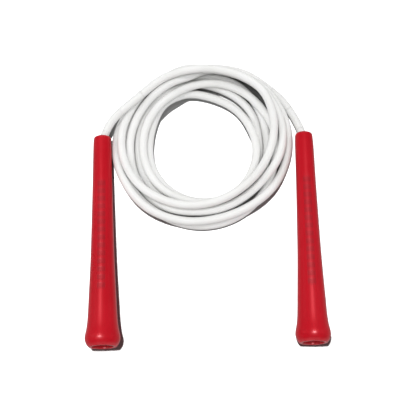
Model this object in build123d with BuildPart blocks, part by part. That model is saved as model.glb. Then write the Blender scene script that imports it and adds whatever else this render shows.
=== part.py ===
from build123d import *
import os

os.makedirs("parts", exist_ok=True)

# Skipping rope with a plain round PVC cord and two long moulded handles, coiled and laid on the floor.
# Millimetres, +Z up. The floor is Z = 0 and the origin is below the middle of the whole rope.
#
# A handle slides and turns on the cord. Inside it, a washer seats on a shoulder behind the nose,
# and a two-piece lock clamped round the grooved cord end stops the cord pulling through.
# Depths are distances from the nose face, measured along the handle.

# --- cord ---------------------------------------------------------------------------------------
GAP = 0.05            # working gap between pieces that touch
CORD_D = 7.9          # round cord, sold as 5/16 in
CORD_R = CORD_D / 2
# At each bend point one length of cord ends in a ball just under the cord's own radius, centred on
# the bend point, and the next length stops 4 mm short of that point, so the two can turn freely.
BALL_R = CORD_R - 0.1

# --- handle -------------------------------------------------------------------------------------
HANDLE_L = 203.0      # 8 in handle
NOSE_LIP_R = 7.15     # crest of the rounded lip at the nose
LAND_R = 4.55         # plain hole the cord runs through
LAND_IN = 11.0        # depth where the bell mouth ends and the plain hole starts
SHOULDER = 19.0       # depth of the inside shoulder the washer seats on
CORE_R0 = 6.7         # hollow core radius at the shoulder
CORE_R1 = 9.9         # hollow core radius at the open end
PLUG_BORE_L = 14.0    # straight length of the open end
RIM_R = 12.55         # outer edge of the flat rim round the open end

# Outer profile: (depth, radius).
OUTER = [
    (0.35, 7.75), (1.0, 8.15), (2.2, 8.42), (5, 8.62), (9, 8.78), (20, 8.99), (40, 9.25), (60, 9.63),
    (80, 10.04), (100, 10.51), (120, 11.05), (135, 11.62), (150, 12.30), (162, 12.84), (172, 13.30),
    (180, 13.84), (186, 14.60), (190, 15.42), (193.2, 16.02), (195.4, 16.12), (198, 15.62), (200.6, 14.50),
    (202.4, 13.10),
]

# Bell mouth at the nose, from the plain hole out to the lip: (depth, radius).
BELL = [(8, 4.68), (5.8, 4.97), (3.8, 5.42), (1.9, 6.1), (0.8, 6.6)]

# --- washer -------------------------------------------------------------------------------------
WASHER_R = 6.4
WASHER_HOLE_R = 4.35
WASHER_T = 1.6
WASHER_CHAMFER = 0.25
WASHER_S = SHOULDER + GAP               # depth of the washer's nose-side face

# --- lock ---------------------------------------------------------------------------------------
END_PLAY = 4.0        # free slide of the handle along the cord
LOCK_R = 6.1
LOCK_L = 11.0
LOCK_BORE_R = CORD_R + GAP
LOCK_S = WASHER_S + WASHER_T + END_PLAY  # depth of the lock's nose-side face

GROOVE_R = 3.40       # bottom of the grooves in the cord end
GROOVE_W = 1.1
GROOVE_PITCH = 3.0
GROOVES = [LOCK_S + LOCK_L / 2 + i * GROOVE_PITCH for i in (-1, 0, 1)]  # depths of their middles
GROOVE_CUT_R = CORD_R + 1               # outer radius of the cutting ring, clear of the cord
RIB_R = 3.45          # lock ribs bite into the grooves
RIB_W = 0.9
RIB_ROOT_R = CORD_R + 0.4               # ribs start inside the lock wall

PEG_X = (LOCK_R + LOCK_BORE_R) / 2      # pegs stand in the middle of the lock wall
PEG_R = 0.5
PEG_L = 0.9
PEG_ROOT = 0.5        # peg length sunk in the lower half
PEG_HOLE_EXTRA = 0.1  # peg hole deeper than the peg

# --- placement ----------------------------------------------------------------------------------
L_NOSE = (-102.066, 62.483, 8.45)          # nose face centre, left handle
L_AXIS = (0.036009, -0.998546, 0.040132)   # along the handle, nose to open end
R_NOSE = (92.809, 66.4, 8.45)
R_AXIS = (0.01166, -0.999126, 0.040132)

# Bend points: SWING between coil and link, LIFT between link and cord end.
L_SWING = (-76.339, 92.317, 18.871)
L_LIFT = (-91.593, 78.707, 14.298)
R_SWING = (73.607, 101.698, 4.019)
R_LIFT = (84.607, 83.918, 5.076)

# Centreline of the cord from its left end to its right end, in order: (x, y, z).
L_END_LINE = [  # 38 mm inside the left nose to the first bend point
    (-100.698, 24.538, 9.975), (-100.828, 28.158, 9.830), (-100.959, 31.778, 9.684), (-101.089, 35.398, 9.539),
    (-101.220, 39.017, 9.393), (-101.351, 42.637, 9.248), (-101.481, 46.257, 9.102), (-101.612, 49.876, 8.957),
    (-101.742, 53.496, 8.811), (-101.464, 57.019, 8.972), (-100.831, 60.475, 9.376), (-99.899, 63.837, 9.962),
    (-98.706, 67.088, 10.681), (-97.269, 70.214, 11.502), (-95.598, 73.202, 12.395), (-93.703, 76.036, 13.336),
    L_LIFT,
]
L_LINK_LINE = [  # first bend point to the coil
    (-88.980, 81.537, 15.375), (-85.988, 84.354, 16.459), (-82.843, 87.042, 17.431), (-79.609, 89.675, 18.247),
    L_SWING,
]
COIL_LINE = [  # the coil, a little over seven turns
    (-73.26, 94.84, 19.26), (-66.47, 100.75, 19.53), (-59.86, 106.88, 19.48), (-53.12, 112.84, 19.72),
    (-45.75, 117.89, 20.77), (-37.71, 121.28, 22.93), (-29.42, 123.09, 25.93), (-20.91, 124.08, 28.73),
    (-12.04, 125.09, 29.68), (-3.21, 126.21, 28.34), (5.59, 126.59, 26.46), (14.47, 125.66, 25.33),
    (23.21, 123.57, 24.87), (31.65, 120.43, 24.89), (39.59, 116.20, 25.14), (46.81, 110.83, 25.18),
    (52.95, 104.28, 24.54), (57.59, 96.79, 22.76), (60.87, 88.84, 20.10), (63.03, 80.47, 17.58),
    (63.84, 71.92, 14.88), (63.17, 63.32, 12.35), (61.37, 54.54, 11.60), (58.65, 45.97, 12.07),
    (55.13, 37.78, 13.35), (51.00, 30.09, 15.58), (46.13, 22.89, 17.90), (40.27, 16.20, 19.33),
    (33.67, 10.10, 19.80), (26.48, 4.67, 19.83), (18.74, 0.07, 19.75), (10.50, -3.54, 19.63),
    (1.87, -6.13, 19.37), (-6.99, -7.69, 18.99), (-15.97, -8.16, 18.62), (-24.92, -7.36, 18.04),
    (-33.61, -5.29, 16.93), (-41.89, -2.11, 15.41), (-49.78, 1.97, 13.91), (-57.26, 6.85, 12.73),
    (-64.16, 12.60, 12.11), (-70.16, 19.30, 11.95), (-75.04, 26.84, 12.55), (-78.85, 34.97, 13.26),
    (-81.58, 43.54, 13.02), (-83.03, 52.40, 12.29), (-83.19, 61.38, 11.74), (-82.05, 70.30, 11.40),
    (-79.59, 78.96, 11.26), (-75.92, 87.18, 11.30), (-71.35, 94.95, 11.38), (-66.10, 102.26, 11.51),
    (-60.12, 109.00, 11.60), (-53.46, 115.05, 11.72), (-46.16, 120.23, 12.65), (-38.47, 124.28, 14.99),
    (-30.56, 127.06, 18.25), (-22.24, 128.54, 21.36), (-13.37, 129.02, 22.53), (-4.51, 129.24, 20.94),
    (4.27, 129.48, 18.94), (13.17, 128.81, 17.83), (21.94, 126.83, 17.34), (30.40, 123.76, 17.16),
    (38.43, 119.68, 17.27), (45.93, 114.69, 17.42), (52.78, 108.85, 17.22), (58.82, 102.23, 16.38),
    (63.91, 94.99, 14.78), (68.03, 87.30, 12.53), (70.94, 79.00, 10.64), (72.38, 70.16, 9.81),
    (72.45, 61.16, 9.67), (71.17, 52.27, 10.23), (68.61, 43.71, 11.32), (64.80, 35.59, 12.10),
    (59.90, 28.04, 11.97), (54.30, 21.00, 11.52), (48.30, 14.29, 11.49), (41.91, 7.93, 11.73),
    (34.98, 2.19, 11.89), (27.45, -2.76, 11.98), (19.41, -6.81, 12.03), (10.92, -9.79, 12.05),
    (2.10, -11.63, 12.04), (-6.86, -12.55, 11.98), (-15.86, -12.66, 11.76), (-24.82, -11.90, 11.25),
    (-33.56, -9.99, 10.26), (-41.74, -6.61, 8.64), (-49.05, -1.75, 6.69), (-55.59, 4.20, 5.00),
    (-61.50, 10.94, 4.12), (-66.54, 18.40, 4.08), (-70.41, 26.46, 5.02), (-72.86, 34.88, 7.07),
    (-74.33, 43.56, 8.93), (-75.00, 52.51, 9.65), (-74.55, 61.50, 9.81), (-72.80, 70.33, 10.13),
    (-69.94, 78.86, 10.61), (-66.14, 86.98, 11.30), (-61.30, 94.46, 12.59), (-55.53, 101.19, 14.18),
    (-49.05, 107.37, 15.14), (-41.90, 112.82, 15.66), (-34.03, 116.97, 16.98), (-25.57, 119.88, 17.92),
    (-17.41, 123.30, 16.43), (-9.91, 127.63, 13.95), (-1.87, 131.07, 11.84), (6.97, 132.02, 10.62),
    (15.89, 130.96, 10.03), (24.65, 128.90, 9.68), (33.19, 126.04, 9.67), (41.41, 122.39, 10.10),
    (49.15, 117.82, 10.61), (56.17, 112.18, 10.65), (62.25, 105.59, 9.89), (67.38, 98.37, 8.28),
    (71.80, 90.79, 6.23), (75.35, 82.69, 4.61), (77.53, 73.98, 4.04), (78.38, 65.01, 4.02),
    (78.25, 56.01, 4.02), (77.13, 47.07, 4.02), (74.92, 38.35, 4.04), (71.78, 29.93, 4.65),
    (68.00, 21.95, 6.42), (63.52, 14.49, 8.73), (58.02, 7.61, 10.58), (51.62, 1.37, 11.65),
    (44.51, -4.14, 12.11), (36.85, -8.88, 12.18), (28.76, -12.83, 11.98), (20.35, -16.03, 11.65),
    (11.71, -18.57, 11.39), (2.91, -20.50, 11.39), (-6.00, -21.76, 11.65), (-14.99, -22.15, 11.96),
    (-23.97, -21.47, 12.14), (-32.80, -19.72, 12.14), (-41.40, -17.02, 11.99), (-49.63, -13.37, 11.81),
    (-57.33, -8.70, 11.69), (-64.30, -3.01, 11.66), (-70.42, 3.59, 11.68), (-75.68, 10.90, 11.60),
    (-80.16, 18.71, 11.31), (-83.88, 26.88, 10.63), (-86.59, 35.36, 9.26), (-88.18, 43.94, 7.06),
    (-88.99, 52.64, 4.89), (-88.81, 61.59, 4.05), (-87.04, 70.42, 4.02), (-84.00, 78.89, 4.02),
    (-80.06, 86.99, 4.02), (-75.55, 94.79, 4.02), (-70.39, 102.17, 4.02), (-64.46, 108.95, 4.02),
    (-57.96, 115.19, 4.02), (-51.02, 120.93, 4.02), (-43.38, 125.69, 4.02), (-34.79, 128.28, 4.02),
    (-25.80, 128.75, 4.02), (-16.81, 128.23, 4.02), (-7.80, 128.14, 4.03), (1.21, 127.99, 4.04),
    (10.11, 126.70, 4.06), (18.69, 123.98, 4.11), (26.74, 119.94, 4.10), (34.04, 114.67, 4.04),
    (40.32, 108.23, 4.02), (45.45, 100.83, 4.02), (49.60, 92.84, 4.02), (52.80, 84.43, 4.02),
    (54.97, 75.69, 4.02), (56.59, 66.82, 4.17), (57.49, 57.86, 4.19), (57.35, 48.86, 4.03),
    (56.11, 39.94, 4.08), (53.66, 31.28, 4.20), (49.89, 23.11, 4.19), (44.99, 15.56, 4.07), (39.19, 8.67, 4.02),
    (32.56, 2.58, 4.02), (25.16, -2.55, 4.02), (17.09, -6.54, 4.02), (8.52, -9.31, 4.02), (-0.35, -10.82, 4.02),
    (-9.35, -11.05, 4.02), (-18.28, -9.92, 4.02), (-26.89, -7.30, 4.02), (-34.88, -3.16, 4.02),
    (-42.07, 2.26, 4.02), (-48.59, 8.47, 4.02), (-54.53, 15.24, 4.02), (-59.58, 22.70, 4.02),
    (-63.43, 30.83, 4.02), (-65.96, 39.47, 4.02), (-67.24, 48.38, 4.02), (-67.51, 57.38, 4.02),
    (-66.96, 66.37, 4.02), (-65.47, 75.25, 4.03), (-62.60, 83.77, 4.34), (-58.20, 91.55, 5.42),
    (-52.77, 98.58, 6.90), (-46.42, 104.86, 7.95), (-39.01, 109.96, 8.12), (-31.15, 114.22, 7.04),
    (-23.22, 118.07, 5.24), (-14.51, 119.93, 4.16), (-5.52, 119.47, 4.02), (3.29, 117.61, 4.02),
    (11.81, 114.70, 4.02), (19.94, 110.84, 4.02), (27.52, 105.98, 4.02), (34.29, 100.05, 4.07),
    (39.91, 93.02, 4.38), (44.01, 85.03, 4.80), (46.64, 76.42, 4.92), (48.33, 67.58, 4.73),
    (49.29, 58.62, 4.40), (49.25, 49.62, 4.17), (47.99, 40.71, 4.07), (45.23, 32.15, 4.03),
    (41.07, 24.16, 4.02), (35.70, 16.94, 4.02), (29.26, 10.66, 4.02), (21.84, 5.56, 4.02), (13.64, 1.85, 4.02),
    (4.92, -0.36, 4.02), (-4.06, -1.04, 4.02), (-13.02, -0.21, 4.02), (-21.71, 2.12, 4.02),
    (-29.88, 5.90, 4.02), (-37.28, 11.02, 4.02), (-43.71, 17.32, 4.02), (-49.01, 24.59, 4.02),
    (-53.07, 32.63, 4.02), (-55.68, 41.24, 4.03), (-56.80, 50.17, 4.03), (-56.66, 59.17, 4.03),
    (-55.54, 68.11, 4.02), (-53.56, 76.90, 4.02), (-50.69, 85.43, 4.02), (-46.62, 93.46, 4.02),
    (-40.78, 100.28, 4.03), (-33.18, 105.08, 4.02), (-24.77, 108.27, 4.06), (-15.86, 109.45, 4.08),
    (-6.92, 108.49, 4.04), (1.81, 106.26, 4.02), (10.28, 103.21, 4.02), (18.38, 99.27, 4.02),
    (25.85, 94.24, 4.04), (32.20, 87.93, 4.80), (36.99, 80.65, 7.01), (40.67, 72.86, 9.63),
    (43.85, 64.59, 11.20), (45.90, 55.84, 11.67), (46.43, 46.86, 11.81), (45.36, 37.92, 11.94),
    (42.73, 29.32, 12.06), (38.87, 21.18, 12.13), (33.76, 13.78, 12.09), (27.31, 7.50, 11.98),
    (19.82, 2.51, 11.88), (11.57, -1.07, 11.80), (2.82, -3.20, 11.74), (-6.16, -3.75, 11.69),
    (-15.10, -2.74, 11.67), (-23.80, -0.41, 11.57), (-32.12, 3.01, 11.30), (-39.83, 7.63, 10.91),
    (-46.61, 13.55, 10.65), (-52.25, 20.56, 10.54), (-56.70, 28.39, 10.47), (-59.89, 36.80, 10.41),
    (-61.75, 45.61, 10.38), (-62.34, 54.59, 10.30), (-61.73, 63.58, 10.23), (-59.81, 72.37, 10.47),
    (-56.49, 80.71, 11.10), (-51.94, 88.45, 11.79), (-46.26, 95.42, 12.24), (-39.56, 101.42, 12.66),
    (-32.17, 106.55, 12.77), (-24.42, 111.11, 12.16), (-16.20, 114.72, 11.58), (-7.46, 116.86, 11.75),
    (1.50, 117.60, 12.14), (10.49, 117.23, 11.88), (19.32, 115.65, 11.09), (27.75, 112.55, 10.68),
    (35.45, 107.91, 11.16), (42.31, 102.14, 11.93), (48.44, 95.55, 12.32), (54.01, 88.49, 11.91),
    (59.18, 81.36, 10.09), (63.10, 73.86, 7.05), (65.05, 65.42, 4.67), (65.63, 56.47, 4.03),
    (65.33, 47.47, 4.02), (64.19, 38.53, 4.02), (62.20, 29.75, 4.02), (59.27, 21.23, 4.02),
    (55.51, 13.04, 4.02), (50.83, 5.36, 4.02), (45.17, -1.65, 4.02), (38.69, -7.90, 4.02),
    (31.48, -13.29, 4.02), (23.62, -17.70, 4.02), (15.27, -21.05, 4.02), (6.55, -23.30, 4.02),
    (-2.39, -24.38, 4.02), (-11.39, -24.29, 4.02), (-20.30, -23.00, 4.02), (-28.97, -20.57, 4.02),
    (-37.31, -17.15, 4.02), (-45.31, -13.02, 4.02), (-53.00, -8.33, 4.04), (-60.08, -2.77, 4.17),
    (-66.22, 3.81, 4.33), (-71.52, 11.09, 4.32), (-75.92, 18.94, 4.16), (-79.07, 27.37, 4.04),
    (-80.51, 36.25, 4.02), (-80.73, 45.26, 4.02), (-80.93, 54.26, 4.04), (-80.25, 63.24, 4.04),
    (-77.96, 71.94, 4.03), (-74.43, 80.22, 4.02), (-70.11, 88.13, 4.02), (-65.10, 95.62, 4.02),
    (-59.35, 102.55, 4.02), (-52.87, 108.80, 4.03), (-45.94, 114.50, 4.65), (-38.71, 119.40, 6.83),
    (-31.02, 123.02, 9.80), (-23.50, 127.39, 12.04), (-16.18, 132.41, 10.97), (-8.64, 135.59, 7.28),
    (-0.18, 136.80, 4.52), (8.80, 136.86, 4.02), (17.77, 136.10, 4.02), (26.62, 134.40, 4.02),
    (35.18, 131.61, 4.02), (43.22, 127.56, 4.02), (50.66, 122.49, 4.02), (57.73, 116.91, 4.02),
    (64.56, 111.03, 4.02), (70.98, 104.71, 4.02),
]
R_LINK_LINE = [  # coil to the last bend point
    R_SWING, (76.206, 98.336, 4.030), (78.593, 94.821, 4.111), (80.791, 91.189, 4.306),
    (82.824, 87.472, 4.640),
]
R_END_LINE = [  # last bend point to 38 mm inside the right nose
    R_LIFT, (86.086, 80.739, 5.543), (87.474, 77.527, 6.064), (88.767, 74.279, 6.610),
    (89.949, 70.991, 7.157), (90.999, 67.653, 7.679), (91.881, 64.260, 8.149), (92.544, 60.807, 8.539),
    (92.919, 57.301, 8.817), (92.957, 53.693, 8.960), (92.999, 50.084, 9.105), (93.042, 46.476, 9.250),
    (93.084, 42.867, 9.395), (93.126, 39.259, 9.540), (93.168, 35.650, 9.685), (93.210, 32.042, 9.830),
    (93.252, 28.433, 9.975),
]


# --- helpers ------------------------------------------------------------------------------------
def smooth_run(line):
    """Curvature-continuous wire of cubic pieces through evenly spaced points.

    Call it outside any builder. The slopes solve the tridiagonal system of a natural spline.
    """
    points = [Vector(*xyz) for xyz in line]
    count = len(points)
    rhs = [(points[1] - points[0]) * 3]
    rhs += [(points[i + 1] - points[i - 1]) * 3 for i in range(1, count - 1)]
    rhs += [(points[-1] - points[-2]) * 3]
    diagonal = [2.0] + [4.0] * (count - 2) + [2.0]
    for i in range(1, count):
        factor = 1.0 / diagonal[i - 1]
        diagonal[i] -= factor
        rhs[i] = rhs[i] - rhs[i - 1] * factor
    slopes = [None] * count
    slopes[-1] = rhs[-1] * (1 / diagonal[-1])
    for i in range(count - 2, -1, -1):
        slopes[i] = (rhs[i] - slopes[i + 1]) * (1 / diagonal[i])
    return Wire([
        Bezier(
            points[i], points[i] + slopes[i] * (1 / 3),
            points[i + 1] - slopes[i + 1] * (1 / 3), points[i + 1],
        )
        for i in range(count - 1)
    ])


def axial_plane(nose, axis):
    """Plane whose X runs down the handle axis and Y points to its side."""
    along = Vector(*axis).normalized()
    side = along.cross(Vector(0, 0, 1)).normalized()
    return Plane(origin=Vector(*nose), x_dir=along, z_dir=along.cross(side))


def cross_plane(nose, axis, depth):
    """Plane square to a handle axis at a depth, its Y pointing up."""
    along = Vector(*axis).normalized()
    side = Vector(0, 0, 1).cross(along).normalized()
    return Plane(origin=Vector(*nose) + Vector(*axis) * depth, x_dir=side, z_dir=along)


def split_plane(nose, axis, depth):
    """Plane through a handle axis at a depth, facing up, where the two lock halves meet."""
    square = cross_plane(nose, axis, depth)
    return Plane(origin=square.origin, x_dir=square.x_dir, z_dir=square.y_dir)


def save(name, part):
    part.label = name
    export_step(part, f"parts/{name}.step")


# --- pieces -------------------------------------------------------------------------------------
def cord(line, ball_at=None, handle=None):
    """Length of cord, with a ball at a bend point and lock grooves inside a handle if given."""
    path = smooth_run(line)
    with BuildPart() as length:
        with BuildSketch(Plane(origin=path @ 0, z_dir=path % 0)):
            Circle(CORD_R)
        sweep(path=path)
        if ball_at:
            with Locations(ball_at):
                Sphere(BALL_R)
        if handle:
            for groove in GROOVES:
                with BuildSketch(cross_plane(*handle, groove - GROOVE_W / 2)):
                    Circle(GROOVE_CUT_R)
                    Circle(GROOVE_R, mode=Mode.SUBTRACT)
                extrude(amount=GROOVE_W, mode=Mode.SUBTRACT)
    return length.part


def washer(nose, axis):
    with BuildPart() as ring:
        with BuildSketch(cross_plane(nose, axis, WASHER_S)):
            Circle(WASHER_R)
            Circle(WASHER_HOLE_R, mode=Mode.SUBTRACT)
        extrude(amount=WASHER_T)
        outer_edges = ring.edges().filter_by(GeomType.CIRCLE).group_by(SortBy.RADIUS)[-1]
        chamfer(outer_edges, WASHER_CHAMFER)
    return ring.part


def lock_half(nose, axis, is_cap):
    """Half of the lock: the lower base carries two pegs, the upper cap has holes for them."""
    cleared_y = -LOCK_R if is_cap else LOCK_R   # middle of the side cut away
    # Body and ribs: (depth, length, outer radius, inner radius).
    rings = [(LOCK_S, LOCK_L, LOCK_R, LOCK_BORE_R)]
    rings += [(groove - RIB_W / 2, RIB_W, RIB_ROOT_R, RIB_R) for groove in GROOVES]
    pegs_plane = split_plane(nose, axis, LOCK_S + LOCK_L / 2)
    if is_cap:
        peg_r, peg_l, peg_mode = PEG_R + GAP, PEG_L + PEG_HOLE_EXTRA, Mode.SUBTRACT
    else:
        pegs_plane = pegs_plane.offset(-PEG_ROOT)
        peg_r, peg_l, peg_mode = PEG_R, PEG_ROOT + PEG_L, Mode.ADD
    with BuildPart() as half:
        for depth, length, outer_r, inner_r in rings:
            with BuildSketch(cross_plane(nose, axis, depth)):
                Circle(outer_r)
                Circle(inner_r, mode=Mode.SUBTRACT)
                with Locations((0, cleared_y)):
                    Rectangle(4 * LOCK_R, 2 * LOCK_R + GAP, mode=Mode.SUBTRACT)
            extrude(amount=length)
        with BuildSketch(pegs_plane):
            with Locations((PEG_X, 0), (-PEG_X, 0)):
                Circle(peg_r)
        extrude(amount=peg_l, mode=peg_mode)
    return half.part


def hollow_handle(nose, axis):
    with BuildPart() as body:
        with BuildSketch(axial_plane(nose, axis)):
            with BuildLine():
                Spline((0, NOSE_LIP_R), *OUTER, (HANDLE_L, RIM_R))
                Polyline(
                    (HANDLE_L, RIM_R), (HANDLE_L, CORE_R1), (HANDLE_L - PLUG_BORE_L, CORE_R1),
                    (SHOULDER, CORE_R0), (SHOULDER, LAND_R), (LAND_IN, LAND_R),
                )
                Spline((LAND_IN, LAND_R), *BELL, (0, NOSE_LIP_R))
            make_face()
        revolve(axis=Axis(nose, axis))
    return body.part


# --- build --------------------------------------------------------------------------------------
save("cord_coil", cord(COIL_LINE))

for side, handle, link_line, swing, end_line, lift in (
    ("left", (L_NOSE, L_AXIS), L_LINK_LINE, L_SWING, L_END_LINE, L_LIFT),
    ("right", (R_NOSE, R_AXIS), R_LINK_LINE, R_SWING, R_END_LINE, R_LIFT),
):
    save(f"{side}_cord_link", cord(link_line, ball_at=swing))
    save(f"{side}_cord_end", cord(end_line, ball_at=lift, handle=handle))
    save(f"{side}_washer", washer(*handle))
    save(f"{side}_lock_base", lock_half(*handle, is_cap=False))
    save(f"{side}_lock_cap", lock_half(*handle, is_cap=True))
    save(f"{side}_handle", hollow_handle(*handle))
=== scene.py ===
"""A skipping rope: a white cord coiled flat between two red handles.

Z is up and the floor is at z = 0. The handles lie at -X (left) and +X (right), along Y: the noses,
where the cord goes in, point to +Y and the flared ends to -Y. Shapes are given in millimetres;
materials, lights and the floor are in metres.
"""
import bpy
import math
import numpy as np
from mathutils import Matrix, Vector


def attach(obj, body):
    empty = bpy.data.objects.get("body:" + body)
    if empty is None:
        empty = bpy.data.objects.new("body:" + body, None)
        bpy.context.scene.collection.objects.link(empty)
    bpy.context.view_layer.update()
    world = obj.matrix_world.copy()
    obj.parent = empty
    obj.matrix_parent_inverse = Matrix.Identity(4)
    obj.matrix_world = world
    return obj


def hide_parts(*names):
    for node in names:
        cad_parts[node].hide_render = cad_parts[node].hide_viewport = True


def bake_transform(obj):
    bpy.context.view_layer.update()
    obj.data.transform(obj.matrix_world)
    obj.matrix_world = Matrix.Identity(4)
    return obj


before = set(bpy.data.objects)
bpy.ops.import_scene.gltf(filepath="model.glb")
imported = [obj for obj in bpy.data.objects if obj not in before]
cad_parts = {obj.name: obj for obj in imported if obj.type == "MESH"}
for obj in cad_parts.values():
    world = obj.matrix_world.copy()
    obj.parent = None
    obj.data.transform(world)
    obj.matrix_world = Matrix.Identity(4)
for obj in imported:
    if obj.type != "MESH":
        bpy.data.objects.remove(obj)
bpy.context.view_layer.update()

MM = 0.001

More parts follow.
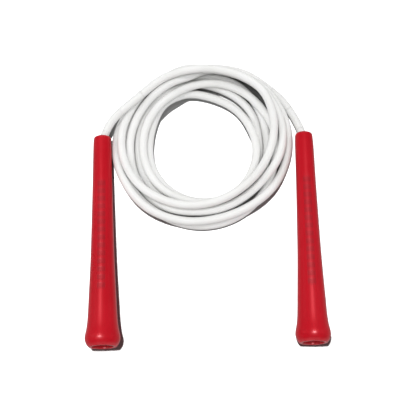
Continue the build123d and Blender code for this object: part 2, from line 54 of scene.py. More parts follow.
# ---------------------------------------------------------------- dimensions of the cord (mm)
# Centreline (x, y, z) at equal steps, from the cut end in the left handle to that in the right one.
CORD = np.array([
    (-100.70, 24.54, 9.97), (-101.02, 33.52, 9.61), (-101.34, 42.50, 9.25), (-101.68, 51.47, 8.88),
    (-100.86, 60.37, 9.36), (-98.00, 68.70, 11.09), (-93.60, 76.18, 13.39), (-87.85, 82.64, 15.80),
    (-81.23, 88.37, 17.86), (-74.32, 93.97, 19.15), (-67.50, 99.82, 19.53), (-60.90, 105.92, 19.49),
    (-54.22, 111.93, 19.64), (-46.99, 117.18, 20.53), (-39.05, 120.86, 22.51), (-30.79, 122.87, 25.42),
    (-22.36, 123.93, 28.34), (-13.55, 124.90, 29.70), (-4.70, 126.04, 28.67), (4.06, 126.61, 26.75),
    (12.92, 125.92, 25.46), (21.68, 124.01, 24.92), (30.17, 121.07, 24.86), (38.20, 117.05, 25.09),
    (45.56, 111.89, 25.21), (51.92, 105.57, 24.73), (56.84, 98.23, 23.18), (60.34, 90.37, 20.61),
    (62.71, 82.09, 18.04), (63.80, 73.56, 15.45), (63.40, 65.02, 12.73), (61.79, 56.26, 11.61),
    (59.26, 47.65, 11.93), (55.89, 39.39, 13.01), (51.89, 31.61, 15.08), (47.21, 24.32, 17.48),
    (41.55, 17.54, 19.12), (35.10, 11.32, 19.76), (28.04, 5.75, 19.84), (20.43, 0.97, 19.77),
    (12.30, -2.85, 19.66), (3.77, -5.65, 19.44), (-5.03, -7.44, 19.07), (-13.98, -8.16, 18.71),
    (-22.94, -7.65, 18.21), (-31.69, -5.87, 17.23), (-40.05, -2.92, 15.77), (-48.01, 0.97, 14.23),
    (-55.57, 5.65, 12.96), (-62.62, 11.18, 12.21), (-68.84, 17.65, 11.93), (-73.99, 25.00, 12.35),
    (-78.02, 32.98, 13.15), (-81.03, 41.45, 13.15), (-82.80, 50.23, 12.47), (-83.27, 59.18, 11.85),
    (-82.45, 68.12, 11.47), (-80.32, 76.84, 11.27), (-76.94, 85.17, 11.28), (-72.57, 93.02, 11.35),
    (-67.51, 100.45, 11.47), (-61.72, 107.33, 11.58), (-55.25, 113.56, 11.65), (-48.11, 118.98, 12.28),
    (-40.51, 123.33, 14.25), (-32.69, 126.46, 17.35), (-24.51, 128.25, 20.62), (-15.79, 128.97, 22.54),
    (-6.88, 129.16, 21.51), (1.86, 129.47, 19.42), (10.73, 129.13, 18.05), (19.54, 127.50, 17.45),
    (28.08, 124.72, 17.18), (36.23, 120.92, 17.22), (43.87, 116.19, 17.40), (50.90, 110.60, 17.33),
    (57.18, 104.20, 16.70), (62.55, 97.13, 15.32), (66.94, 89.59, 13.21), (70.24, 81.51, 11.09),
    (72.11, 72.80, 9.96), (72.57, 63.83, 9.65), (71.69, 54.90, 9.99), (69.51, 46.24, 10.97),
    (66.08, 37.99, 11.95), (61.49, 30.28, 12.09), (56.07, 23.12, 11.63), (50.19, 16.33, 11.45),
    (43.95, 9.85, 11.65), (37.21, 3.91, 11.85), (29.88, -1.29, 11.96), (22.01, -5.63, 12.02),
    (13.67, -8.97, 12.04), (4.95, -11.15, 12.05), (-3.96, -12.35, 12.01), (-12.94, -12.72, 11.85),
    (-21.90, -12.26, 11.46), (-30.73, -10.77, 10.65), (-39.12, -7.90, 9.24), (-46.72, -3.51, 7.34),
    (-53.47, 2.12, 5.49), (-59.59, 8.59, 4.31), (-64.94, 15.80, 4.02), (-69.24, 23.66, 4.55),
    (-72.17, 31.96, 6.30), (-73.89, 40.53, 8.40), (-74.87, 49.39, 9.51), (-74.85, 58.37, 9.76),
    (-73.55, 67.26, 9.99), (-71.06, 75.88, 10.44), (-67.61, 84.16, 11.00), (-63.14, 91.88, 12.06),
    (-57.69, 98.85, 13.63), (-51.46, 105.20, 14.90), (-44.57, 110.95, 15.43), (-36.98, 115.64, 16.40),
    (-28.71, 118.86, 17.81), (-20.31, 121.89, 17.23), (-12.69, 126.02, 14.86), (-4.99, 130.02, 12.54),
    (3.61, 131.97, 10.97), (12.54, 131.51, 10.22), (21.35, 129.77, 9.78), (29.97, 127.22, 9.62),
    (38.31, 123.88, 9.89), (46.24, 119.70, 10.43), (53.56, 114.49, 10.72), (60.00, 108.25, 10.29),
    (65.47, 101.24, 9.00), (70.13, 93.81, 7.04), (74.09, 85.97, 5.13), (76.83, 77.48, 4.15),
    (78.17, 68.60, 4.02), (78.42, 59.62, 4.02), (77.72, 50.66, 4.02), (75.94, 41.85, 4.02),
    (73.14, 33.31, 4.26), (69.62, 25.16, 5.58), (65.47, 17.49, 7.78), (60.42, 10.37, 9.91),
    (54.37, 3.87, 11.30), (47.55, -1.93, 11.97), (40.12, -6.99, 12.19), (32.21, -11.26, 12.09),
    (23.94, -14.76, 11.80), (15.40, -17.56, 11.48), (6.68, -19.75, 11.35), (-2.17, -21.32, 11.51),
    (-11.12, -22.11, 11.84), (-20.10, -21.90, 12.08), (-28.99, -20.60, 12.16), (-37.68, -18.31, 12.07),
    (-46.07, -15.09, 11.88), (-54.01, -10.89, 11.73), (-61.31, -5.65, 11.66), (-67.81, 0.55, 11.68),
    (-73.43, 7.56, 11.66), (-78.23, 15.16, 11.47), (-82.31, 23.16, 11.00), (-85.51, 31.49, 9.98),
    (-87.59, 40.03, 8.14), (-88.66, 48.64, 5.77), (-89.09, 57.47, 4.25), (-88.04, 66.39, 4.02),
    (-85.54, 75.02, 4.02), (-81.98, 83.27, 4.02), (-77.72, 91.19, 4.02), (-72.90, 98.77, 4.02),
    (-67.34, 105.83, 4.02), (-61.09, 112.30, 4.02), (-54.38, 118.27, 4.02), (-47.14, 123.61, 4.02),
    (-39.00, 127.36, 4.02), (-30.14, 128.74, 4.02), (-21.15, 128.50, 4.02), (-12.17, 128.11, 4.02),
    (-3.18, 128.15, 4.04), (5.79, 127.51, 4.04), (14.54, 125.49, 4.09), (22.85, 122.09, 4.11),
    (30.54, 117.43, 4.07), (37.34, 111.57, 4.03), (43.03, 104.62, 4.02), (47.63, 96.90, 4.02),
    (51.32, 88.71, 4.02), (53.98, 80.13, 4.02), (55.84, 71.33, 4.08), (57.15, 62.44, 4.21),
    (57.56, 53.46, 4.11), (56.88, 44.50, 4.03), (55.09, 35.70, 4.14), (52.00, 27.26, 4.22),
    (47.66, 19.39, 4.14), (42.31, 12.17, 4.03), (36.12, 5.66, 4.02), (29.13, 0.01, 4.02),
    (21.41, -4.59, 4.02), (13.11, -8.01, 4.02), (4.39, -10.18, 4.02), (-4.55, -11.10, 4.02),
    (-13.53, -10.70, 4.02), (-22.32, -8.90, 4.02), (-30.67, -5.58, 4.02), (-38.28, -0.81, 4.02),
    (-45.11, 5.03, 4.02), (-51.38, 11.47, 4.02), (-56.95, 18.52, 4.02), (-61.47, 26.29, 4.02),
    (-64.73, 34.66, 4.02), (-66.68, 43.43, 4.02), (-67.47, 52.38, 4.02), (-67.37, 61.37, 4.02),
    (-66.44, 70.31, 4.02), (-64.41, 79.06, 4.09), (-60.84, 87.28, 4.71), (-55.93, 94.67, 6.07),
    (-50.16, 101.42, 7.43), (-43.33, 107.21, 8.17), (-35.64, 111.83, 7.81), (-27.82, 115.98, 6.27),
    (-19.61, 119.19, 4.63), (-10.70, 119.96, 4.04), (-1.79, 118.83, 4.02), (6.90, 116.51, 4.02),
    (15.26, 113.21, 4.02), (23.17, 108.95, 4.02), (30.43, 103.66, 4.02), (36.76, 97.29, 4.16),
    (41.78, 89.86, 4.56), (45.23, 81.57, 4.90), (47.40, 72.85, 4.87), (48.82, 63.98, 4.60),
    (49.40, 55.02, 4.29), (48.91, 46.05, 4.12), (47.08, 37.25, 4.05), (43.74, 28.91, 4.02),
    (39.09, 21.23, 4.02), (33.30, 14.36, 4.02), (26.48, 8.52, 4.02), (18.75, 3.95, 4.02),
    (10.33, 0.82, 4.02),
    (1.50, -0.80, 4.02), (-7.49, -0.90, 4.02), (-16.36, 0.50, 4.02), (-24.86, 3.38, 4.02),
    (-32.76, 7.67, 4.02), (-39.80, 13.24, 4.02), (-45.81, 19.92, 4.02), (-50.66, 27.48, 4.02),
    (-54.20, 35.73, 4.02), (-56.25, 44.48, 4.03), (-56.87, 53.44, 4.03), (-56.35, 62.41, 4.03),
    (-54.92, 71.29, 4.02), (-52.65, 79.98, 4.02), (-49.41, 88.36, 4.02), (-44.79, 96.06, 4.03),
    (-38.27, 102.20, 4.02), (-30.31, 106.34, 4.02), (-21.72, 108.95, 4.08), (-12.76, 109.32, 4.07),
    (-3.90, 107.83, 4.03), (4.73, 105.31, 4.02), (13.08, 101.98, 4.02), (20.99, 97.71, 4.02),
    (28.13, 92.27, 4.14), (33.97, 85.58, 5.40), (38.29, 78.12, 7.92), (41.79, 70.20, 10.30),
    (44.68, 61.77, 11.43), (46.24, 52.93, 11.72), (46.26, 43.95, 11.85), (44.68, 35.11, 11.98),
    (41.61, 26.67, 12.09), (37.40, 18.73, 12.13), (31.86, 11.67, 12.06), (25.07, 5.79, 11.94),
    (17.32, 1.25, 11.85), (8.91, -1.89, 11.78), (0.08, -3.54, 11.72), (-8.90, -3.60, 11.69),
    (-17.77, -2.16, 11.66), (-26.35, 0.50, 11.51), (-34.51, 4.26, 11.18), (-41.96, 9.26, 10.81),
    (-48.40, 15.52, 10.60), (-53.68, 22.78, 10.53), (-57.76, 30.78, 10.45), (-60.56, 39.32, 10.40),
    (-62.05, 48.18, 10.37), (-62.29, 57.16, 10.27), (-61.33, 66.09, 10.25), (-59.01, 74.77, 10.62),
    (-55.34, 82.94, 11.30), (-50.48, 90.46, 11.94), (-44.51, 97.17, 12.35), (-37.59, 102.89, 12.75),
    (-30.10, 107.85, 12.66), (-22.27, 112.20, 11.96), (-13.91, 115.45, 11.55), (-5.10, 117.18, 11.88),
    (3.87, 117.61, 12.14), (12.82, 116.95, 11.70), (21.55, 115.00, 10.90), (29.81, 111.50, 10.73),
    (37.27, 106.53, 11.37), (43.93, 100.54, 12.08), (49.88, 93.81, 12.32), (55.34, 86.71, 11.61),
    (60.33, 79.58, 9.41), (63.74, 71.88, 6.32), (65.29, 63.27, 4.38), (65.63, 54.30, 4.02),
    (65.13, 45.32, 4.02), (63.80, 36.43, 4.02), (61.60, 27.72, 4.02), (58.47, 19.29, 4.02),
    (54.52, 11.22, 4.02), (49.61, 3.69, 4.02), (43.77, -3.14, 4.02), (37.13, -9.19, 4.02),
    (29.78, -14.36, 4.02), (21.82, -18.53, 4.02), (13.39, -21.64, 4.02), (4.62, -23.63, 4.02),
    (-4.32, -24.46, 4.02), (-13.30, -24.11, 4.02), (-22.16, -22.58, 4.02), (-30.74, -19.93, 4.02),
    (-38.99, -16.35, 4.02), (-46.91, -12.11, 4.02), (-54.50, -7.29, 4.05), (-61.38, -1.52, 4.21),
    (-67.34, 5.21, 4.35), (-72.47, 12.59, 4.29), (-76.65, 20.54, 4.13), (-79.49, 29.06, 4.03),
    (-80.61, 37.97, 4.02), (-80.77, 46.96, 4.02), (-80.91, 55.95, 4.04), (-79.95, 64.88, 4.04),
    (-77.38, 73.48, 4.02), (-73.70, 81.68, 4.02), (-69.26, 89.50, 4.02), (-64.14, 96.89, 4.02),
    (-58.27, 103.69, 4.02), (-51.70, 109.83, 4.05), (-44.72, 115.42, 4.91), (-37.45, 120.09, 7.32),
    (-29.73, 123.64, 10.28), (-22.29, 128.25, 12.16), (-14.99, 133.09, 10.45), (-7.35, 135.90, 6.69),
    (1.23, 136.87, 4.32), (10.21, 136.80, 4.02), (19.15, 135.90, 4.02), (27.95, 134.05, 4.02),
    (36.43, 131.08, 4.02), (44.36, 126.86, 4.02), (51.72, 121.69, 4.02), (58.74, 116.08, 4.02),
    (65.51, 110.16, 4.02), (71.83, 103.77, 4.02), (77.36, 96.69, 4.06), (82.01, 89.01, 4.49),
    (85.97, 81.00, 5.50), (89.32, 72.78, 6.86), (91.88, 64.26, 8.15), (92.95, 55.39, 8.90),
    (93.04, 46.40, 9.25), (93.15, 37.42, 9.61), (93.25, 28.43, 9.97),
])
CORD_SPACING = 8.99162  # length of cord between two points of CORD
CORD_LENGTH = CORD_SPACING * (len(CORD) - 1)
CORD_RADIUS = 3.95
CORD_SEGMENTS = 40

# Places along the cord are lengths from its left end.
LEFT_NOSE_PLACE, RIGHT_NOSE_PLACE = 38.3, 3297.7  # where it enters each handle
SEAM_DISTANCES = (5.5, 30.0, 56.0)  # from each nose to the seams between pieces of cord
LEFT_SEAMS = [LEFT_NOSE_PLACE + distance for distance in SEAM_DISTANCES]
RIGHT_SEAMS = [RIGHT_NOSE_PLACE - distance for distance in SEAM_DISTANCES]

# Three grooves round the cord near each cut end, in a finely ringed length.
GROOVE_DEPTHS = (27.15, 30.15, 33.15)  # distance inside the nose
GROOVE_HALF_WIDTH = 0.62
GROOVE_RADIUS = 3.38
GROOVED_LENGTH = 16.0

# Ends of the evenly ringed lengths, and the ring spacing in each.
CORD_KNOTS = [
    0.0, GROOVED_LENGTH, *LEFT_SEAMS, *reversed(RIGHT_SEAMS), CORD_LENGTH - GROOVED_LENGTH, CORD_LENGTH,
]
RING_SPACINGS = (0.30, 0.9, 0.7, 0.7, 1.5, 0.7, 0.7, 0.9, 0.30)

# Pieces of cord: name, first knot, last knot.
CORD_PIECES = (
    ("cord_left_end", 0, 2), ("cord_left_bend", 2, 3), ("cord_left_lead", 3, 4),
    ("cord_main", 4, 5),
    ("cord_right_lead", 5, 6), ("cord_right_bend", 6, 7), ("cord_right_end", 7, 9),
)

# ---------------------------------------------------------------- dimensions of the handles (mm)
# Side: centre of the nose, direction from the nose to the flared end.
HANDLES = {
    "left": ((-102.066, 62.483, 8.45), (0.036009, -0.998546, 0.040132)),
    "right": ((92.809, 66.4, 8.45), (0.01166, -0.999126, 0.040132)),
}
HANDLE_SEGMENTS = 128
SKIN_STEP = 0.9  # longest step along the outer skin

# The wall's outline is (distance from the nose, radius), in four parts that form a closed loop.
OUTER_SKIN = [
    (0, 7.15), (0.35, 7.75), (1.0, 8.15), (2.2, 8.42), (5, 8.62), (9, 8.78), (20, 8.99), (40, 9.25),
    (60, 9.63), (80, 10.04), (100, 10.51), (120, 11.05), (135, 11.62), (150, 12.30), (162, 12.84),
    (172, 13.30), (180, 13.84), (186, 14.60), (190, 15.42), (193.2, 16.02), (195.4, 16.12),
    (198, 15.62), (200.6, 14.50), (202.4, 13.10), (203, 12.55),
]
END_LIP = [(203.0, 11.4), (203.0, 10.25), (202.9, 10.0), (202.6, 9.9)]
BORE_WIDE_RADIUS, BORE_NARROW_RADIUS = 9.9, 6.7
TAPER_WIDE_END, TAPER_NARROW_END = 189, 19  # the bore is straight beyond the wide end
NOSE_WEB = [
    (19.3, 6.7), (19.0, 6.6), (19.0, 5.6), (19.0, 4.7), (18.9, 4.56), (17.0, 4.55), (14.0, 4.55),
]
BELL_MOUTH = [(11, 4.55), (8, 4.68), (5.8, 4.97), (3.8, 5.42), (1.9, 6.1), (0.8, 6.6), (0, 7.15)]
BELL_STEPS = 4


# ---------------------------------------------------------------- curves and meshes
def hermite(start, end, start_slope, end_slope, t):
    return (start * (2 * t**3 - 3 * t**2 + 1) + start_slope * (t**3 - 2 * t**2 + t)
            + end * (3 * t**2 - 2 * t**3) + end_slope * (t**3 - t**2))


def spline_slopes(points):
    """Slopes, per point, of the cubic spline with continuous curvature and free ends."""
    count = len(points)
    matrix = 4 * np.eye(count) + np.eye(count, k=1) + np.eye(count, k=-1)
    matrix[0, 0] = matrix[-1, -1] = 2
    target = np.zeros_like(points)
    target[0], target[-1] = 3 * (points[1] - points[0]), 3 * (points[-1] - points[-2])
    target[1:-1] = 3 * (points[2:] - points[:-2])
    return np.linalg.solve(matrix, target)


CORD_SLOPES = spline_slopes(CORD)


def cord_at(places):
    """Centreline points and unit tangents at the given places along the cord."""
    along = np.asarray(places) / CORD_SPACING
    index = np.clip(np.floor(along).astype(int), 0, len(CORD) - 2)
    t = (along - index)[:, None]
    start, end = CORD[index], CORD[index + 1]
    start_slope, end_slope = CORD_SLOPES[index], CORD_SLOPES[index + 1]
    centres = hermite(start, end, start_slope, end_slope, t)
    tangents = (start * (6 * t**2 - 6 * t) + start_slope * (3 * t**2 - 4 * t + 1)
                + end * (6 * t - 6 * t**2) + end_slope * (3 * t**2 - 2 * t))
    return centres, tangents / np.linalg.norm(tangents, axis=1)[:, None]


def smooth_outline(points, step_count):
    """Smooth curve through points, without the last; step_count turns a chord into a count."""
    points = np.array(points, float)
    chord = np.r_[0, np.cumsum(np.linalg.norm(np.diff(points, axis=0), axis=1))]
    gaps = np.diff(chord)
    secants = np.diff(points, axis=0) / gaps[:, None]
    before, after = gaps[:-1, None], gaps[1:, None]
    inner = (secants[1:] * before + secants[:-1] * after) / (before + after)
    slopes = np.vstack([secants[:1], inner, secants[-1:]])
    outline = []
    for k, gap in enumerate(gaps):
        for t in np.linspace(0, 1, step_count(gap), endpoint=False):
            place = hermite(points[k], points[k + 1], slopes[k] * gap, slopes[k + 1] * gap, t)
            outline.append(tuple(place))
    return outline


def quads_between(ring, next_ring, segments):
    """Faces of the band between two rings, which are given by number."""
    a, b = ring * segments, next_ring * segments
    steps = [(j, (j + 1) % segments) for j in range(segments)]
    return [(a + j, a + j_next, b + j_next, b + j) for j, j_next in steps]


def mesh_object(name, rings, faces, uvs, material):
    """Smooth-shaded object from rings of points (mm), with one "flow" UV (m) per point."""
    mesh = bpy.data.meshes.new(name)
    mesh.from_pydata((np.concatenate(rings) * MM).tolist(), [], faces)
    layer = mesh.uv_layers.new(name="flow")
    loop_points = np.zeros(len(mesh.loops), np.int32)
    mesh.loops.foreach_get("vertex_index", loop_points)
    layer.data.foreach_set("uv", np.concatenate(uvs).astype(np.float32)[loop_points].ravel())
    mesh.polygons.foreach_set("use_smooth", [True] * len(mesh.polygons))
    mesh.update()
    mesh.materials.append(material)
    made = bpy.data.objects.new(name, mesh)
    bpy.context.scene.collection.objects.link(made)
    return made


# ---------------------------------------------------------------- shader nodes
class Shader:
    """A new material with a Principled surface, and a method for each kind of node."""

    def __init__(self, name):
        self.material = bpy.data.materials.new(name)
        self.material.use_nodes = True
        self.tree = self.material.node_tree
        self.tree.nodes.clear()
        self.output = self.node("ShaderNodeOutputMaterial")
        self.principled = self.node("ShaderNodeBsdfPrincipled")
        self.feed(self.output, {0: self.principled.outputs[0]})

    def feed(self, node, inputs):
        """Link each input that is a socket, and set each one that is a plain value."""
        for key, value in inputs.items():
            if isinstance(value, bpy.types.NodeSocket):
                self.tree.links.new(value, node.inputs[key])
            else:
                node.inputs[key].default_value = value

    def node(self, kind, inputs={}, **settings):
        node = self.tree.nodes.new(kind)
        for key, value in settings.items():
            setattr(node, key, value)
        self.feed(node, inputs)
        return node

    def surface(self, inputs):
        self.feed(self.principled, inputs)

    def object_position(self):
        return self.node("ShaderNodeTexCoord").outputs["Object"]

    def flow_uv(self):
        return self.node("ShaderNodeUVMap", uv_map="flow").outputs[0]

    def scaled(self, vector, scale):
        return self.node("ShaderNodeMapping", {"Vector": vector, "Scale": scale}).outputs[0]

    def noise(self, vector, scale, detail=4.0, rough=0.55):
        inputs = {"Vector": vector, "Scale": scale, "Detail": detail, "Roughness": rough}
        return self.node("ShaderNodeTexNoise", inputs).outputs["Fac"]

    def ramp(self, factor, stops):
        ramp = self.node("ShaderNodeValToRGB", {0: factor})
        elements = ramp.color_ramp.elements
        while len(elements) < len(stops):
            elements.new(0.5)
        for element, (position, colour) in zip(elements, stops):
            element.position = position
            element.color = (*colour, 1)
        return ramp.outputs[0]

    def remap(self, value, span, to, smooth=False):
        inputs = {"Value": value, "From Min": span[0], "From Max": span[1],
                  "To Min": to[0], "To Max": to[1]}
        kind = "SMOOTHSTEP" if smooth else "LINEAR"
        return self.node("ShaderNodeMapRange", inputs, interpolation_type=kind).outputs[0]

    def math(self, operation, *operands):
        inputs = dict(enumerate(operands))
        return self.node("ShaderNodeMath", inputs, operation=operation).outputs[0]

    def tint(self, base, colour, amount):
        """Mix a plain colour over a base colour."""
        inputs = {0: amount, 6: base, 7: (*colour, 1)}
        return self.node("ShaderNodeMix", inputs, data_type="RGBA").outputs[2]

    def bump(self, height, strength, distance, **under):
        """Bump map; an optional normal= is the bump it lies on."""
        inputs = {"Height": height, "Strength": strength, "Distance": distance}
        inputs.update({"Normal": normal for normal in under.values()})
        return self.node("ShaderNodeBump", inputs).outputs[0]


# ---------------------------------------------------------------- materials
def white_pvc():
    """White flexible PVC: streaks along the cord, faint clouding, handling marks."""
    shader = Shader("white_pvc")
    position = shader.object_position()
    streak_uv = shader.scaled(shader.flow_uv(), scale=(2600, 18, 1))
    streak = shader.noise(streak_uv, scale=1.0, detail=3.0, rough=0.6)
    cloud = shader.noise(position, scale=34.0, rough=0.5)
    fine = shader.noise(position, scale=900.0, detail=3.0, rough=0.6)
    marks = shader.noise(position, scale=210.0, detail=6.0, rough=0.72)

    base = shader.ramp(cloud, stops=[
        (0.30, (0.684, 0.683, 0.669)), (0.55, (0.706, 0.706, 0.697)), (0.75, (0.722, 0.722, 0.716)),
    ])
    dirt = shader.remap(marks, span=(0.66, 0.80), to=(0.0, 0.16), smooth=True)
    base = shader.tint(base, colour=(0.57, 0.565, 0.54), amount=dirt)
    streaking = shader.remap(streak, span=(0.35, 0.7), to=(0.0, 0.05))
    base = shader.tint(base, colour=(0.645, 0.645, 0.635), amount=streaking)

    clouded = shader.remap(cloud, span=(0.3, 0.7), to=(0.44, 0.52))
    marked = shader.remap(marks, span=(0.55, 0.8), to=(0.0, 0.12))
    streak_bump = shader.bump(streak, strength=0.17, distance=0.00012)
    shader.surface({
        "Base Color": base,
        "Roughness": shader.math("ADD", clouded, marked),
        "Specular IOR Level": 0.25,
        "Subsurface Weight": 0.12,
        "Subsurface Radius": (0.004, 0.004, 0.0035),
        "Subsurface Scale": 0.5,
        "Normal": shader.bump(fine, strength=0.05, distance=0.00008, normal=streak_bump),
    })
    return shader.material


def bar_row(shader, around, down):
    """Mask of a row of short bars along the top line of the grip."""
    first, pitch, count = 0.0460, 0.0076, 14.0  # distance of the row from the nose, bar pitch
    cells = shader.math("DIVIDE", shader.math("SUBTRACT", down, first), pitch)
    after_start = shader.math("GREATER_THAN", cells, 0.0)
    before_end = shader.math("LESS_THAN", cells, count)
    in_row = shader.math("MULTIPLY", after_start, before_end)
    from_middle = shader.math("SUBTRACT", shader.math("FRACT", cells), 0.5)
    from_middle = shader.math("ABSOLUTE", from_middle)
    bar = shader.remap(from_middle, span=(0.24, 0.36), to=(1.0, 0.38), smooth=True)
    from_top_line = shader.math("ABSOLUTE", around)
    width = shader.remap(from_top_line, span=(0.0034, 0.0042), to=(1.0, 0.0), smooth=True)
    return shader.math("MULTIPLY", shader.math("MULTIPLY", bar, width), in_row)


def red_plastic(name):
    """Moulded satin plastic: clouding, fine grain, hairlines, a worn nose, a painted highlight on the
    rim, a row of bars.
    """
    shader = Shader(name)
    position = shader.object_position()
    uv = shader.flow_uv()
    # Metres round from the top line, and metres from the nose.
    around, down = shader.node("ShaderNodeSeparateXYZ", {0: uv}).outputs[:2]
    cloud = shader.noise(position, scale=26.0)
    mottle = shader.noise(position, scale=130.0, detail=5.0, rough=0.6)
    grain = shader.noise(position, scale=2600.0, detail=2.0, rough=0.5)
    peel = shader.noise(position, scale=420.0, detail=3.0, rough=0.5)
    hair_uv = shader.scaled(uv, scale=(900, 26, 1))
    hair = shader.noise(hair_uv, scale=1.0, detail=6.0, rough=0.75)

    base = shader.ramp(cloud, stops=[
        (0.25, (0.380, 0.0049, 0.0112)), (0.5, (0.403, 0.0057, 0.0128)),
        (0.75, (0.426, 0.0067, 0.0148)),
    ])
    mottling = shader.remap(mottle, span=(0.3, 0.7), to=(0.0, 0.10))
    base = shader.tint(base, colour=(0.35, 0.0047, 0.0094), amount=mottling)
    hairlines = shader.remap(hair, span=(0.68, 0.82), to=(0.0, 0.05), smooth=True)
    base = shader.tint(base, colour=(0.46, 0.03, 0.035), amount=hairlines)

    # The nose is worn slightly paler, in patches; the rim of the flared end is painted paler in the
    # same patches, a painted highlight that stands for the floor's reflection on its edge.
    nose_wear = shader.remap(down, span=(0.0032, 0.0002), to=(0.0, 0.30), smooth=True)
    # Painted highlight: a paler band round the rim of the flared end.
    rim_painted_highlight = shader.remap(down, span=(0.1995, 0.2032), to=(0.0, 0.45), smooth=True)
    patches = shader.remap(mottle, span=(0.35, 0.6), to=(0.35, 1.0))
    wear_and_rim_highlight = shader.math("MULTIPLY", shader.math("MAXIMUM", nose_wear, rim_painted_highlight), patches)
    # Paler red for the worn nose and for the painted rim highlight.
    base = shader.tint(base, colour=(0.56, 0.075, 0.085), amount=wear_and_rim_highlight)

    bars = bar_row(shader, around, down)
    bar_darkening = shader.math("MULTIPLY", bars, 0.42)
    base = shader.tint(base, colour=(0.15, 0.011, 0.016), amount=bar_darkening)

    clouded = shader.remap(cloud, span=(0.3, 0.7), to=(0.27, 0.33))
    mottled = shader.remap(mottle, span=(0.5, 0.8), to=(0.0, 0.06))
    roughness = shader.math("ADD", clouded, mottled)
    bar_roughness = shader.math("MULTIPLY", bars, 0.06)
    sunken_bars = shader.math("MULTIPLY", bars, -1.0)
    normal = shader.bump(peel, strength=0.05, distance=0.00020)
    normal = shader.bump(grain, strength=0.07, distance=0.00005, normal=normal)
    normal = shader.bump(sunken_bars, strength=0.5, distance=0.00018, normal=normal)
    normal = shader.bump(hair, strength=0.012, distance=0.00006, normal=normal)
    shader.surface({
        "Base Color": base,
        "Roughness": shader.math("ADD", roughness, bar_roughness),
        "Specular IOR Level": 0.22,
        "Specular Tint": (1.0, 0.42, 0.45, 1),
        "Normal": normal,
    })
    return shader.material


def small_plastic(name, dark, light, roughness):
    """Plain grained plastic for the washers and locks."""
    shader = Shader(name)
    position = shader.object_position()
    mottle = shader.noise(position, scale=260.0, detail=5.0, rough=0.6)
    grain = shader.noise(position, scale=2100.0, detail=3.0, rough=0.5)
    shader.surface({
        "Base Color": shader.ramp(mottle, stops=[(0.3, dark), (0.7, light)]),
        "Roughness": shader.remap(mottle, span=(0.3, 0.7), to=roughness),
        "Normal": shader.bump(grain, strength=0.12, distance=0.0001),
    })
    return shader.material


def floor_material(name, seen, bounce):
    """Pale floor of one grey to the camera (seen) and another to all other rays (bounce)."""
    shader = Shader(name)
    position = shader.object_position()
    cloud = shader.noise(position, scale=3.0, detail=3.0, rough=0.5)
    grain = shader.noise(position, scale=600.0, detail=3.0, rough=0.6)
    greys = [(0.3, (bounce * 0.975,) * 3), (0.7, (bounce * 1.025,) * 3)]
    shader.surface({
        "Base Color": shader.ramp(cloud, stops=greys),
        "Roughness": shader.remap(cloud, span=(0.3, 0.7), to=(0.85, 0.95)),
        "Normal": shader.bump(grain, strength=0.05, distance=0.0002),
        "Specular IOR Level": 0.1,
    })
    plain = shader.node("ShaderNodeBsdfDiffuse", {"Color": (seen, seen, seen, 1)})
    camera_ray = shader.node("ShaderNodeLightPath").outputs["Is Camera Ray"]
    choice = shader.node("ShaderNodeMixShader", {
        0: camera_ray, 1: shader.principled.outputs[0], 2: plain.outputs[0],
    })
    shader.feed(shader.output, {0: choice.outputs[0]})
    return shader.material


# ---------------------------------------------------------------- the cord
def cord_radius(place):
    inside = max(LEFT_NOSE_PLACE - place, place - RIGHT_NOSE_PLACE)
    if any(abs(inside - depth) < GROOVE_HALF_WIDTH for depth in GROOVE_DEPTHS):
        return GROOVE_RADIUS
    # Very slight wander of an extruded cord.
    return CORD_RADIUS - 0.02 + 0.015 * math.sin(place * 0.11) * math.sin(place * 0.037 + 1.0)


def unit_across(vector, direction):
    """Unit vector of the part of vector square to direction."""
    across = vector - direction * (vector @ direction)
    return across / np.linalg.norm(across)


def cord_rings():
    """Places and points of every ring of the cord, and the ring number at each knot."""
    places, knot_rings = [0.0], [0]
    for start, end, spacing in zip(CORD_KNOTS, CORD_KNOTS[1:], RING_SPACINGS):
        count = round((end - start) / spacing)
        places.extend(np.linspace(start, end, count + 1)[1:])
        knot_rings.append(knot_rings[-1] + count)
    centres, tangents = cord_at(places)
    angles = np.linspace(0, 2 * math.pi, CORD_SEGMENTS, endpoint=False)
    rings = []
    normal = np.array([0.0, 0.0, 1.0])
    for place, centre, tangent in zip(places, centres, tangents):
        # Carried on from ring to ring, so the rings don't twist.
        normal = unit_across(normal, tangent)
        side = np.cross(tangent, normal)
        circle = np.cos(angles)[:, None] * normal + np.sin(angles)[:, None] * side
        rings.append(centre + cord_radius(place) * circle)
    # Round the cord u swings about 0.5 by half of its girth; v is the length along it.
    swing = 0.5 + np.sin(angles) * 3.14 * CORD_RADIUS * MM
    uvs = [np.column_stack([swing, np.full(CORD_SEGMENTS, place * MM)]) for place in places]
    return rings, uvs, knot_rings


def cord_piece(name, rings, uvs, material):
    """Length of cord closed by a flat cap at both ends."""
    last = len(rings) - 1
    faces = []
    for k in range(last):
        faces += quads_between(k, k + 1, CORD_SEGMENTS)
    faces.append(tuple(reversed(range(CORD_SEGMENTS))))
    faces.append(tuple(last * CORD_SEGMENTS + j for j in range(CORD_SEGMENTS)))
    piece = mesh_object(name, rings, faces, uvs, material)
    for cap in piece.data.polygons[-2:]:
        cap.use_smooth = False
    return piece


def build_cord(material):
    rings, uvs, knot_rings = cord_rings()
    pieces = {}
    for name, first_knot, last_knot in CORD_PIECES:
        part = slice(knot_rings[first_knot], knot_rings[last_knot] + 1)
        pieces[name] = cord_piece(name, rings[part], uvs[part], material)

    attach(pieces["cord_main"], "coil")
    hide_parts("cord_coil")
    for side, seams, away in (("left", LEFT_SEAMS, 1), ("right", RIGHT_SEAMS, -1)):
        end, bend, lead = (pieces[f"cord_{side}_{part}"] for part in ("end", "bend", "lead"))
        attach(end, side + "_end")
        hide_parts(side + "_cord_end")
        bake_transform(bend)
        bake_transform(lead)
        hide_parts(side + "_cord_link")
        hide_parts(side + "_cord_link")


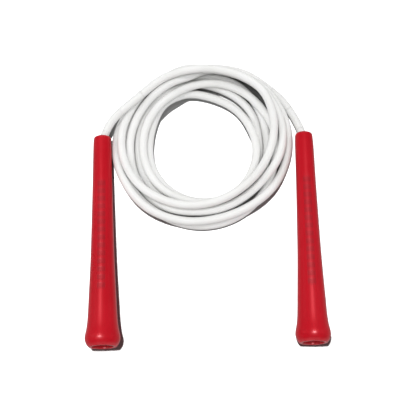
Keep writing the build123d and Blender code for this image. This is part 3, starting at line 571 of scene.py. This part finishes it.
# ---------------------------------------------------------------- the handles
def handle_outline():
    """Closed outline of the wall: outer skin, lip, bore back to the nose, bell mouth."""
    outline = smooth_outline(OUTER_SKIN, lambda gap: max(2, math.ceil(gap / SKIN_STEP)))
    outline += [OUTER_SKIN[-1], *END_LIP]
    outline += [(s, BORE_WIDE_RADIUS) for s in np.linspace(199, TAPER_WIDE_END, 6)]
    taper = (BORE_WIDE_RADIUS - BORE_NARROW_RADIUS) / (TAPER_WIDE_END - TAPER_NARROW_END)
    for s in np.linspace(186, 20, 42):
        outline.append((s, BORE_NARROW_RADIUS + taper * (s - TAPER_NARROW_END)))
    return outline + NOSE_WEB + smooth_outline(BELL_MOUTH, lambda gap: BELL_STEPS)


def handle(name, nose, axis, outline, material):
    axis = np.array(axis) / np.linalg.norm(axis)
    side = np.cross(axis, [0, 0, 1.0])
    side /= np.linalg.norm(side)
    up = np.cross(side, axis)
    angles = np.linspace(-math.pi, math.pi, HANDLE_SEGMENTS, endpoint=False)  # 0 is the top line
    circle = np.cos(angles)[:, None] * up + np.sin(angles)[:, None] * side
    upper_half = np.abs(angles) < math.pi / 2
    rings, uvs, faces = [], [], []
    for i, (distance, radius) in enumerate(outline):
        rings.append(np.array(nose) + axis * distance + radius * circle)
        # The underside is parked 20 mm off, clear of the row of bars.
        around = np.where(upper_half, np.sin(angles) * radius * MM, 0.02 * np.sign(angles))
        uvs.append(np.column_stack([around, np.full(HANDLE_SEGMENTS, distance * MM)]))
        faces += quads_between(i, (i + 1) % len(outline), HANDLE_SEGMENTS)
    return mesh_object(name, rings, faces, uvs, material)


def build_handles(reds, nylon, lock):
    """Both handles, and the materials of the small parts that go with them."""
    outline = handle_outline()
    grips = {}
    for side, (nose, axis) in HANDLES.items():
        grip = handle("grip_" + side, nose, axis, outline, reds[side])
        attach(grip, side + "_grip")
        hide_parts(side + "_handle")
        for part, material in (("washer", nylon), ("lock_base", lock), ("lock_cap", lock)):
            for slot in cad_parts[f"{side}_{part}"].material_slots:
                slot.material = material
        grips[side] = grip
    return grips


# ---------------------------------------------------------------- floor, lights, camera
def stage_active(name, material):
    """Name the object just added and give it the material."""
    added = bpy.context.object
    added.name = name
    added.data.materials.append(material)
    return added


def build_floors():
    bpy.ops.mesh.primitive_plane_add(size=14.0, location=(0, 0, -0.0002))
    floor = stage_active("floor", floor_material("floor_white", seen=0.66, bounce=0.239))
    # The floor inside the coil has its own key; its edge is hidden under the strands.
    bpy.ops.mesh.primitive_circle_add(
        vertices=128, radius=0.062, fill_type="NGON", location=(-0.005, 0.053, -0.0001))
    ring_material = floor_material("ring_floor_white", seen=0.90, bounce=0.300)
    return floor, stage_active("ring_floor", ring_material)


def build_world():
    world = bpy.data.worlds.new("studio")
    bpy.context.scene.world = world
    world.use_nodes = True
    background = world.node_tree.nodes["Background"]
    background.inputs["Color"].default_value = (1.0, 1.0, 1.0, 1)
    background.inputs["Strength"].default_value = 0.085


def area(name, at, width, height, power, aim=(0, 0, 0), colour=(1, 1, 1)):
    light = bpy.data.lights.new(name, "AREA")
    light.energy = power
    light.color = colour
    light.shape = "RECTANGLE"
    light.size = width
    light.size_y = height
    lamp = bpy.data.objects.new(name, light)
    lamp.location = at
    lamp.rotation_euler = (Vector(aim) - Vector(at)).to_track_quat("-Z", "Y").to_euler()
    bpy.context.scene.collection.objects.link(lamp)
    return lamp


def light_only(lamps, receivers, name):
    """Make the lamps light nothing but the receivers."""
    group = bpy.data.collections.new(name)
    for receiver in receivers:
        group.objects.link(receiver)
    for lamp in lamps:
        lamp.light_linking.receiver_collection = group


# Broad panels that open up the grooves between strands: name, place, width, height, power.
FILLS = (
    ("fill_eye", (0.0, -0.22, 1.05), 0.30, 0.30, 4.0),
    ("fill_top", (0.0, 0.15, 1.25), 1.7, 1.7, 4.0),
    ("fill_left", (-1.15, 0.05, 0.55), 1.0, 0.8, 6.9),
    ("fill_right", (1.15, 0.05, 0.55), 1.0, 0.8, 5.8),
    ("fill_front", (0.0, -1.15, 0.60), 1.2, 0.8, 5.6),
    ("fill_back", (0.0, 1.15, 0.60), 1.2, 0.8, 5.4),
)
WHITE, PINK = (1, 1, 1), (1.0, 0.34, 0.37)
# Lamps seen only in reflections, for the flares, the grips and the cord:
# name, place, aim, size, power, colour.
SPARKS = (
    ("left", (-0.375, -0.145, 1.23), (-0.097, -0.132, 0.03), 0.14, 34.0, WHITE),
    ("right", (0.15, -0.135, 1.23), (0.093, -0.128, 0.03), 0.14, 34.0, WHITE),
    ("left_body", (-0.38, 0.30, 1.20), (-0.095, -0.085, 0.02), 0.30, 7.6, PINK),
    ("right_body", (0.12, 0.30, 1.20), (0.092, -0.082, 0.02), 0.30, 7.6, PINK),
    ("cord", (-0.16, 0.30, 1.35), (0, 0.05, 0), 0.25, 1.1, WHITE),
)


def build_lights(floor, ring_floor, grips):
    # Each floor has a small far key that blows it out to white but for crisp contact shadows.
    sweep_key = area("sweep_key", at=(-0.50, 0.20, 4.0), width=0.26, height=0.26, power=390.0)
    ring_key = area("ring_key", at=(-0.85, 1.50, 4.0), width=0.26, height=0.26, power=370.0,
                    aim=(0, 0.05, 0))
    key = area("key", at=(-0.27, 0.34, 1.42), width=0.18, height=0.15, power=5.45)
    fills = [area(*fill) for fill in FILLS]
    for lamp in [key, sweep_key, ring_key] + fills:
        lamp.visible_glossy = False
    sparks = {}
    for name, at, aim, size, power, colour in SPARKS:
        sparks[name] = area("spark_" + name, at, size, size, power, aim, colour)
        sparks[name].visible_diffuse = False

    stage = (floor, ring_floor)
    product = [o for o in bpy.context.scene.objects if o.type == "MESH" and o not in stage]
    light_only([key] + fills, product, "lit_by_panels")
    light_only([sweep_key], [floor], "lit_by_sweep_key")
    light_only([ring_key], [ring_floor], "lit_by_ring_key")
    for side, grip in grips.items():
        light_only([sparks[side], sparks[side + "_body"]], [grip], f"spark_on_{side}_grip")
    others = [o for o in product if o not in grips.values()]
    light_only([sparks["cord"]], others, "spark_on_cord")


def build_camera():
    """Camera above the rope, tipped back towards -Y."""
    tilt = math.radians(15.5)
    distance = 0.8615
    target = Vector((0.0001099, -0.0058449, 0))
    lens = bpy.data.cameras.new("cam")
    lens.sensor_width = 36
    lens.lens = 77.8846
    lens.clip_start = 0.01
    camera = bpy.data.objects.new("cam", lens)
    camera.location = target + Vector((0, -math.sin(tilt), math.cos(tilt))) * distance
    camera.rotation_euler = (tilt, 0, 0)
    bpy.context.scene.collection.objects.link(camera)
    bpy.context.scene.camera = camera


def set_render():
    scene = bpy.context.scene
    scene.view_settings.view_transform = "Standard"
    scene.view_settings.look = "None"
    scene.view_settings.exposure = 0.0
    scene.cycles.max_bounces = 8
    scene.cycles.diffuse_bounces = 4


# ---------------------------------------------------------------- build
pvc = white_pvc()
reds = {side: red_plastic("red_handle_" + side) for side in HANDLES}
nylon = small_plastic("black_nylon", dark=(0.016, 0.016, 0.017), light=(0.035, 0.035, 0.036),
                      roughness=(0.42, 0.55))
lock = small_plastic("white_lock", dark=(0.60, 0.60, 0.585), light=(0.68, 0.68, 0.67),
                     roughness=(0.30, 0.42))
build_cord(pvc)
grips = build_handles(reds, nylon, lock)
floor, ring_floor = build_floors()
build_world()
build_lights(floor, ring_floor, grips)
build_camera()
set_render()

bpy.context.view_layer.update()
